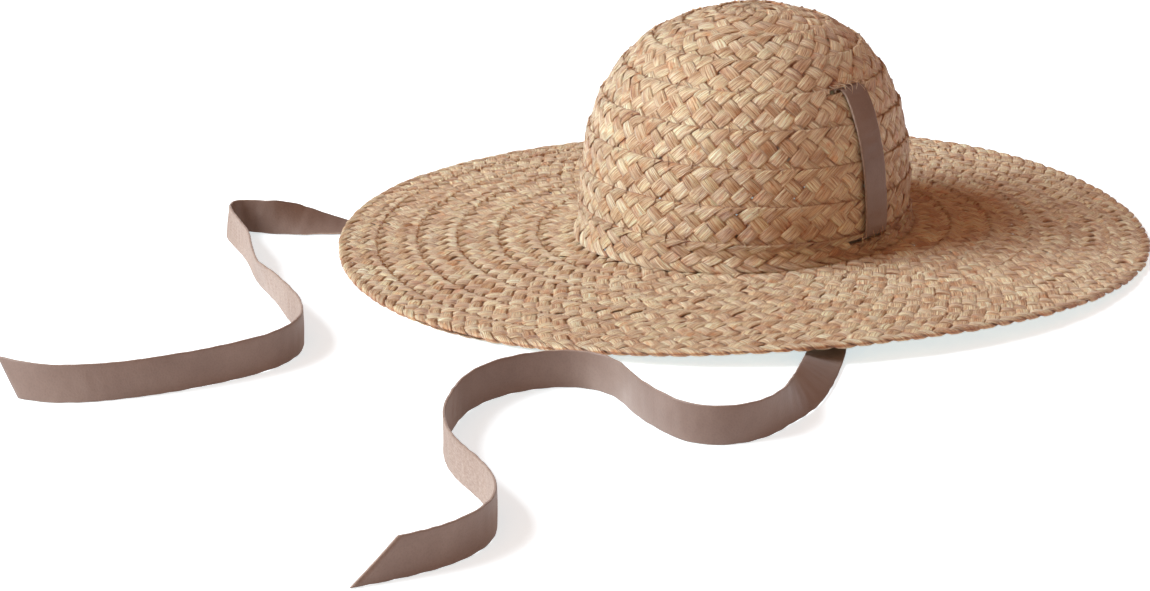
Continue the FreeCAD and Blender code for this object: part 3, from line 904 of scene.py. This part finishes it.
def control_share(count, samples):
    """For each sample of a quadratic spline, which control point it is nearest to."""
    place = np.linspace(0, count - 2, samples)
    centres = np.concatenate([[0.0], np.arange(1, count - 1) - 0.5, [count - 2.0]])
    return np.interp(place, centres, np.arange(count))


def unit(vectors):
    """The same directions with length one."""
    return vectors / np.linalg.norm(vectors, axis=-1, keepdims=True)


def strap_mesh(name, line, across, materials, seed, cut_slant=0.0):
    """A leather strap along a line. across points to the strap's right-hand edge."""
    random = np.random.default_rng(seed)
    ahead = unit(np.gradient(line, axis=0))
    across = unit(across - ahead * np.sum(across * ahead, axis=1, keepdims=True))
    grain = np.cross(across, ahead)
    steps = np.linalg.norm(np.diff(line, axis=0), axis=1)
    along = np.concatenate([[0.0], np.cumsum(steps)])
    places, thick, faces_side = strap_section()
    half = TIE_WIDTH / 2
    edge_wobble = wander(random, along / 18.0, 0.12)[:, None] * np.sign(places)[None, :]
    sideways = places[None, :] * half + edge_wobble
    cup = 0.25 * wander(random, along / 60.0, 1.0)[:, None] * (places[None, :] ** 2 - 0.4)
    ripple = 0.12 * wander(random, along / 11.0, 1.0)[:, None] * np.cos(places[None, :] * 2.0)
    through = thick[None, :] + cup + ripple
    points = line[:, None, :] + sideways[..., None] * across[:, None, :]
    points = points + through[..., None] * grain[:, None, :]
    if cut_slant:
        points = slanted_end(points, ahead, along, places, cut_slant)
    rings, around = points.shape[:2]
    caps = end_faces(rings, around)
    # The small faces of both ends share one point in the UV map's corner.
    cap_uv = np.tile([0.995, 0.995], (4 * len(caps), 1))
    faces = np.concatenate([tube_faces(rings, around), caps])
    face_materials = np.concatenate([np.tile(faces_side, rings - 1), np.ones(len(caps))])
    fibre = together((rings, around), places * half, along[:, None], float(seed))
    piece = make_mesh(
        name,
        points.reshape(-1, 3),
        faces,
        np.concatenate([strap_uv(along, around), cap_uv]),
        materials,
        face_materials,
        fibre=fibre.reshape(-1, 3),
    )
    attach(piece, "root")
    return piece


def strap_section():
    """Round the strap's section: place across, height through it, and each face's material."""
    flat = np.array([-0.985, -0.93, -0.75, -0.45, -0.15, 0.15, 0.45, 0.75, 0.93, 0.985])
    half = TIE_THICKNESS / 2
    edge = np.array([1.0, 1.0])
    edge_height_steps = np.array([0.55, -0.55]) * half
    rounded = half * np.where(np.abs(flat) > 0.95, 0.86, 1.0)
    places = np.concatenate([flat, edge, flat[::-1], -edge])
    thick = np.concatenate([rounded, edge_height_steps, -rounded, -edge_height_steps])
    sides = np.ones(len(places), dtype=int)
    sides[: len(flat) - 1] = 0
    return places, thick, sides


def end_faces(rings, around):
    """Quads across the first and the last ring of a closed strap."""
    caps = []
    last = (rings - 1) * around
    for near in range(around // 2 - 1):
        far = around - 1 - near
        caps.append([last + near, last + near + 1, last + far - 1, last + far])
        caps.append([near, far, far - 1, near + 1])
    return np.array(caps)


def slanted_end(points, ahead, along, places, slant):
    """Draws one edge back at the cut end, so that the end is cut on a slant."""
    near_end = np.clip(1 - (along[-1] - along) / 60.0, 0, 1)[:, None]
    shortened = near_end * abs(slant) * (0.5 + 0.5 * places[None, :] * np.sign(slant))
    return points - shortened[..., None] * ahead[:, None, :]


def strap_uv(along, around):
    """The strap's length is laid in rows of the UV map, its section across each row."""
    rows = 6
    share = along / along[-1] * rows
    low = share[:-1]
    high = share[1:]
    row = np.minimum(np.floor((low + high) / 2), rows - 1)
    low_u = np.clip(low - row, 0, 1)
    high_u = np.clip(high - row, 0, 1)
    low_v = np.arange(around) / around
    high_v = low_v + 1 / around
    corner_u = np.stack([low_u, low_u, high_u, high_u], axis=-1)[:, None, :]
    corner_v = np.stack([low_v, high_v, high_v, low_v], axis=-1)
    u = 0.02 + 0.96 * corner_u
    v = (row[:, None, None] + 0.04 + 0.92 * corner_v) / rows
    return together(v.shape, u, v).reshape(-1, 2)


def build_tail(name, side, stations, leathers, slant, seed):
    """A free tie: down inside the crown, flat under the brim, then on edge across the floor."""
    route = tail_route(side, stations)
    places = [place for place, _ in route]
    line = smooth_line(name, places)
    roll_of_control = np.array([roll for _, roll in route])
    nearest = control_share(len(route), len(line))
    roll = np.radians(np.interp(nearest, np.arange(len(route)), roll_of_control))
    line[:, 2] = np.maximum(line[:, 2], edge_height(roll))
    ahead = np.gradient(line, axis=0)
    ahead[:, 2] = 0.0
    right = np.stack([ahead[:, 1], -ahead[:, 0], 0 * ahead[:, 0]], axis=1)
    right /= np.maximum(np.linalg.norm(right, axis=1, keepdims=True), 1e-9)
    hanging = np.clip(HANGING_POINTS - nearest, 0.0, 1.0)[:, None]
    right = unit(hanging * np.array([0.0, -side, 0.0]) + (1 - hanging) * right)
    across = np.cos(roll)[:, None] * right + np.sin(roll)[:, None] * np.array([0.0, 0.0, 1.0])
    tie = strap_mesh(f"{name}_leather", line, across, leathers, seed, slant)
    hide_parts(name)


def side_point(height, stand_off):
    """A point beside the crown in the middle plane, stand_off outside the braid's middle."""
    return on_crown(length_at_height(height), 0.0, stand_off)


def build_held_tie(name, side, leathers, seed):
    """The part of a tie that the hat holds: sewn end, upper slit, down the crown, lower slit."""
    slit_x, _, slit_z = side_point(SLIT_UPPER_HEIGHT, 0.0)
    low_x = float(side_point(SLIT_LOWER_HEIGHT, TIE_OUTSIDE)[0])
    controls = [
        side_point(SEWN_END_HEIGHT, -TIE_OUTSIDE),
        side_point(104.0, -TIE_OUTSIDE),
        (slit_x - 2.6, 0.0, slit_z + 1.8),
        (slit_x + 2.4, 0.0, slit_z + 0.1),
        side_point(92.0, 3.3),
        side_point(80.0, TIE_OUTSIDE),
        side_point(64.0, 3.7),
        side_point(48.0, 3.7),
        side_point(32.0, 3.7),
        side_point(22.0, 3.4),
        (low_x - 1.8, 0.0, SLIT_LOWER_HEIGHT + 0.4),
        (TIE_DROP + 1.0, 0.0, SLIT_LOWER_HEIGHT - 0.6),
        (TIE_DROP, 0.0, TIE_DROP_END),
    ]
    line = smooth_line(name, np.array(controls) * [side, 1, 1], steps=12)
    across = np.tile([0.0, -float(side), 0.0], (len(line), 1))
    piece = strap_mesh(f"{name}_leather", line, across, leathers, seed)
    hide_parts(name)


# ---------------- sweatband and small stitches
def oval_ring(radius, heights):
    """Rings of points of an upright oval band."""
    count = 180
    angle = np.linspace(0, 2 * math.pi, count, endpoint=False)
    rings = [oval(np.full(count, r), angle, np.full(count, z)) for r, z in zip(radius, heights)]
    return np.stack(rings), angle


def build_sweatband(material):
    """A folded cotton band in the head opening, gently rolled at its edges."""
    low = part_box("sweatband")[0][2] / MM
    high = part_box("sweatband")[1][2] / MM
    outer = [SWEATBAND_RADIUS - tuck for tuck in (0.8, 0.1, 0.0, 0.1, 0.8)]
    inner = [SWEATBAND_INSIDE + tuck for tuck in (0.1, 0.0, 0.0, 0.0, 0.1)]
    share = [0.0, 0.04, 0.5, 0.96, 1.0]
    heights = [low + (high - low) * s for s in share]
    radius = outer + inner[::-1]
    levels = heights + heights[::-1]
    rings, angle = oval_ring(radius + radius[:1], levels + levels[:1])
    count = len(angle)
    faces = tube_faces(len(rings), count)
    step = np.repeat(np.arange(len(rings) - 1), count)
    here = np.tile(np.arange(count), len(rings) - 1)
    last = len(rings) - 1
    corners_uv = tile_uv(0, 1, step / last, (step + 1) / last, here / count, (here + 1) / count)
    fibre = together(rings.shape[:2], angle * SWEATBAND_RADIUS, rings[..., 2], 0.0)
    points = rings.reshape(-1, 3)
    fibre = fibre.reshape(-1, 3)
    piece = make_mesh("sweatband_cloth", points, faces, corners_uv, [material], fibre=fibre)
    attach(piece, "root")
    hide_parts("sweatband")


def build_sweatband_stitches(material):
    """Running stitches round the inside of the sweatband."""
    count = 150
    steps = 6
    one_stitch = np.linspace(0, 0.026, steps)[None, :]
    angle = np.arange(count)[:, None] * 2 * math.pi / count + one_stitch
    bulge = 0.25 + 0.35 * np.sin(np.linspace(0, math.pi, steps))[None, :]
    height = np.full_like(angle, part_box("sweatband_stitching")[0][2] / MM + 0.2)
    lines = oval(SWEATBAND_INSIDE - bulge + 0 * angle, angle, height)
    radii = np.full(lines.shape[:2], 0.28)
    piece = threads_mesh("sweatband_stitches", lines, radii, material, np.zeros(count))
    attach(piece, "root")
    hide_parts("sweatband_stitching")


def build_bar_tacks(material):
    """Rows of close stitches that hold the sewn end of each tie."""
    lines = []
    end = np.array(side_point(SEWN_END_HEIGHT, -TIE_OUTSIDE))
    corner = np.array(side_point(SEWN_CORNER_HEIGHT, -TIE_OUTSIDE))
    down = unit(corner - end)
    inward = np.array([down[2], 0.0, -down[0]])
    for side in (1, -1):
        for from_end in (3.0, 6.0):
            middle = end + down * from_end + inward * (TIE_THICKNESS / 2 + 0.15)
            for place in np.linspace(-6.0, 6.0, 13):
                share = np.linspace(-1, 1, 5)[:, None]
                line = middle + down * share * 1.1 + inward * 0.3 * (1 - share**2)
                line = line + np.array([0.0, place, 0.0])
                line[:, 0] *= side
                lines.append(line)
    lines = np.stack(lines)
    radii = np.full(lines.shape[:2], 0.3)
    piece = threads_mesh("bar_tacks", lines, radii, material, np.zeros(len(lines)))
    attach(piece, "root")
    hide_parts("tie_anchor_stitches")


# ---------------- studio
def add_floor():
    """A plain pale floor, with a glow that keeps its shadows faint where the camera sees them."""
    bpy.ops.mesh.primitive_plane_add(size=30.0, location=(0, 0, 0))
    floor = bpy.context.object
    floor.name = "floor"
    graph = Graph("floor_white", roughness=0.9, specular=0.1)
    graph.shader.inputs["Base Color"].default_value = (0.96, 0.96, 0.96, 1.0)
    seen = graph.add("ShaderNodeLightPath").outputs["Is Camera Ray"]
    glow = graph.mix("MIX", seen, (0.24, 0.27, 0.28), (0.52, 0.63, 0.67))
    graph.join(glow, graph.shader.inputs["Emission Color"])
    graph.shader.inputs["Emission Strength"].default_value = 1.0
    floor.data.materials.append(graph.material)


def add_light(name, location, size, power, colour):
    """A soft square light that points at the hat."""
    data = bpy.data.lights.new(name, "AREA")
    data.size = size
    data.energy = power
    data.color = colour
    light = bpy.data.objects.new(name, data)
    light.location = location
    aim = Vector((0.0, -0.1, 0.05)) - light.location
    light.rotation_mode = "QUATERNION"
    light.rotation_quaternion = aim.to_track_quat("-Z", "Y")
    bpy.context.collection.objects.link(light)


def add_room():
    """A warm glow from all round, which the camera sees as a plain pale backdrop."""
    world = bpy.data.worlds.new("room")
    world.use_nodes = True
    tree = world.node_tree
    glow = tree.nodes["Background"]
    glow.inputs["Color"].default_value = (1.0, 0.50, 0.31, 1.0)
    glow.inputs["Strength"].default_value = 0.36
    backdrop = tree.nodes.new("ShaderNodeBackground")
    backdrop.inputs["Color"].default_value = (0.92, 0.92, 0.92, 1.0)
    seen = tree.nodes.new("ShaderNodeLightPath")
    either = tree.nodes.new("ShaderNodeMixShader")
    tree.links.new(seen.outputs["Is Camera Ray"], either.inputs[0])
    tree.links.new(glow.outputs[0], either.inputs[1])
    tree.links.new(backdrop.outputs[0], either.inputs[2])
    tree.links.new(either.outputs[0], tree.nodes["World Output"].inputs["Surface"])
    bpy.context.scene.world = world


def add_studio():
    """A pale room with soft cool window light from the front left and a faint warm fill."""
    add_room()
    add_floor()
    add_light("window", (-3.2, -4.0, 3.85), 3.5, 615.0, (0.82, 0.95, 1.03))
    add_light("fill", (0.6, -3.0, 1.4), 2.0, 9.0, (1.0, 0.72, 0.5))
    bpy.context.scene.view_settings.view_transform = "Standard"


add_camera()
leathers = [grain_material(), suede_material()]
build_tail("tie_right_tail", 1, RIGHT_TAIL, leathers, 22.0, seed=31)
build_tail("tie_left_tail", -1, LEFT_TAIL, leathers, -12.0, seed=47)
build_held_tie("tie_right_held", 1, leathers, seed=53)
build_held_tie("tie_left_held", -1, leathers, seed=59)
straw = straw_material()
rounds = hat_rounds()
for number, braid in enumerate(rounds):
    build_braid(braid, number, straw)
build_stitching(rounds, straw)
thread = cotton_material("cotton_thread", (0.62, 0.50, 0.38), (0.40, 0.30, 0.22), 3.0)
build_sweatband(cotton_material("cotton_band", (0.80, 0.72, 0.60), (0.50, 0.42, 0.33), 1.6))
build_sweatband_stitches(thread)
build_bar_tacks(thread)
add_studio()
